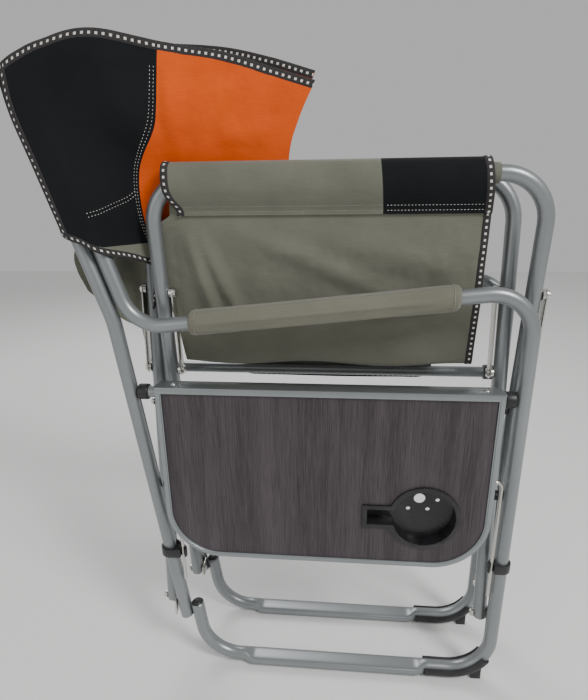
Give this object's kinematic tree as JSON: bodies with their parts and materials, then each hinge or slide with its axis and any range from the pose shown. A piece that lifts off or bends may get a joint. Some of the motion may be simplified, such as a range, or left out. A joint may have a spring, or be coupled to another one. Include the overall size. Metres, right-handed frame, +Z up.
{
  "type": "director chair",
  "caption": "Folding director chair with padded arms, sling seat, V-folded backrest and a drop-down side table with cup holder, shown folded.",
  "frame": {"origin": "centre of the folded chair's footprint, on the floor", "axes": "+Z up, -Y towards the chair's front, -X towards the side table"},
  "size_m": [0.1508, 0.6673, 0.9051],
  "materials": {
    "frame_paint": "satin grey powder coat",
    "bright_zinc": "zinc plated",
    "edging_aluminium": "satin",
    "black_plastic": "matte moulded",
    "table_laminate": "fine-grained dark laminate",
    "olive_cloth": "woven",
    "black_cloth": "woven"
  },
  "bodies": {
    "near_frame": {"near_loop_tube": "frame_paint", "near_back_post": "frame_paint", "near_loop_plug": "black_plastic", "near_foot_sleeve": "black_plastic", "near_arm_pad": "olive_cloth", "near_crossbar": "frame_paint", "near_front_socket": "black_plastic", "near_front_lug": "bright_zinc", "near_front_pivot_bolt": "bright_zinc", "near_rear_socket": "black_plastic", "near_rear_lug": "bright_zinc", "near_rear_pivot_bolt": "bright_zinc", "front_strut_rest": "black_plastic", "rear_strut_rest": "black_plastic", "front_hook_clip": "black_plastic", "rear_hook_clip": "black_plastic"},
    "far_frame": {"far_loop_tube": "frame_paint", "far_back_post": "frame_paint", "far_loop_plug": "black_plastic", "far_foot_sleeve": "black_plastic", "far_arm_pad": "olive_cloth", "far_crossbar": "frame_paint", "far_front_socket": "black_plastic", "far_front_lug": "bright_zinc", "far_front_pivot_bolt": "bright_zinc", "far_rear_socket": "black_plastic", "far_rear_lug": "bright_zinc", "far_rear_pivot_bolt": "bright_zinc", "side_pocket": "olive_cloth"},
    "far_seat_frame": {"far_seat_tube": "frame_paint", "far_rail_sleeve": "olive_cloth", "far_front_leg_tip": "frame_paint", "far_front_leg_strap": "bright_zinc", "far_rear_leg_tip": "frame_paint", "far_rear_leg_strap": "bright_zinc", "front_scissor_bolt": "bright_zinc", "front_scissor_washer": "black_plastic", "rear_scissor_bolt": "bright_zinc", "rear_scissor_washer": "black_plastic"},
    "near_seat_frame": {"near_seat_tube": "frame_paint", "near_rail_sleeve": "olive_cloth", "near_front_leg_tip": "frame_paint", "near_front_leg_strap": "bright_zinc", "near_rear_leg_tip": "frame_paint", "near_rear_leg_strap": "bright_zinc"},
    "table": {"table_edging": "edging_aluminium", "table_panel": "table_laminate", "cup_holder": "black_plastic", "front_hinge_clamp": "black_plastic", "rear_hinge_clamp": "black_plastic", "front_strut_saddle": "black_plastic", "rear_strut_saddle": "black_plastic"},
    "table_strut": {"table_strut": "bright_zinc"},
    "near_seat_half": {"near_seat_half": "olive_cloth"},
    "far_seat_half": {"far_seat_half": "olive_cloth"},
    "near_back_half": {"near_back_half": "black_cloth"},
    "far_back_half": {"far_back_half": "black_cloth"}
  },
  "joints": [
    {"name": "fold_hinge", "type": "hinge", "parent": "near_frame", "child": "far_seat_frame", "pos_m": [-0.0246, 0, 0.105], "axis": [0, 1, 0], "range_deg": [0, 47.1]},
    {"name": "scissor_hinge", "type": "hinge", "parent": "far_seat_frame", "child": "near_seat_frame", "pos_m": [0.0064, 0, 0.43957], "axis": [0, 1, 0], "range_deg": [-94.2, 0]},
    {"name": "far_foot_hinge", "type": "hinge", "parent": "near_seat_frame", "child": "far_frame", "pos_m": [0.0374, 0, 0.105], "axis": [0, 1, 0], "range_deg": [0, 47.1]},
    {"name": "near_seat_hinge", "type": "hinge", "parent": "near_seat_frame", "child": "near_seat_half", "pos_m": [-0.02312, 0, 0.7582], "axis": [0, 1, 0], "range_deg": [-30.8, 0]},
    {"name": "far_seat_hinge", "type": "hinge", "parent": "far_seat_frame", "child": "far_seat_half", "pos_m": [0.03592, 0, 0.7582], "axis": [0, 1, 0], "range_deg": [0, 30.8]},
    {"name": "near_back_hinge", "type": "hinge", "parent": "near_frame", "child": "near_back_half", "pos_m": [-0.0456, 0.2972, 0.78], "axis": [0, 0.1564, 0.9877], "range_deg": [0, 81.1]},
    {"name": "far_back_hinge", "type": "hinge", "parent": "far_frame", "child": "far_back_half", "pos_m": [0.0584, 0.2972, 0.78], "axis": [0, 0.1564, 0.9877], "range_deg": [-81.1, 0]},
    {"name": "table_hinge", "type": "hinge", "parent": "near_frame", "child": "table", "pos_m": [-0.0456, 0, 0.477], "axis": [0, 1, 0], "range_deg": [0, 90]},
    {"name": "strut_hinge", "type": "hinge", "parent": "table", "child": "table_strut", "pos_m": [-0.0521, 0, 0.357], "axis": [0, 1, 0], "range_deg": [-129.3, 0]}
  ],
  "couplings": [
    {"joint": "scissor_hinge", "follows": "fold_hinge", "ratio": -2},
    {"joint": "far_foot_hinge", "follows": "fold_hinge", "ratio": 1},
    {"joint": "near_seat_hinge", "follows": "fold_hinge", "ratio": -0.6518},
    {"joint": "far_seat_hinge", "follows": "fold_hinge", "ratio": 0.6518},
    {"joint": "near_back_hinge", "follows": "fold_hinge", "ratio": 1.7197},
    {"joint": "far_back_hinge", "follows": "fold_hinge", "ratio": -1.7197},
    {"joint": "strut_hinge", "follows": "table_hinge", "ratio": -1.4364}
  ]
}
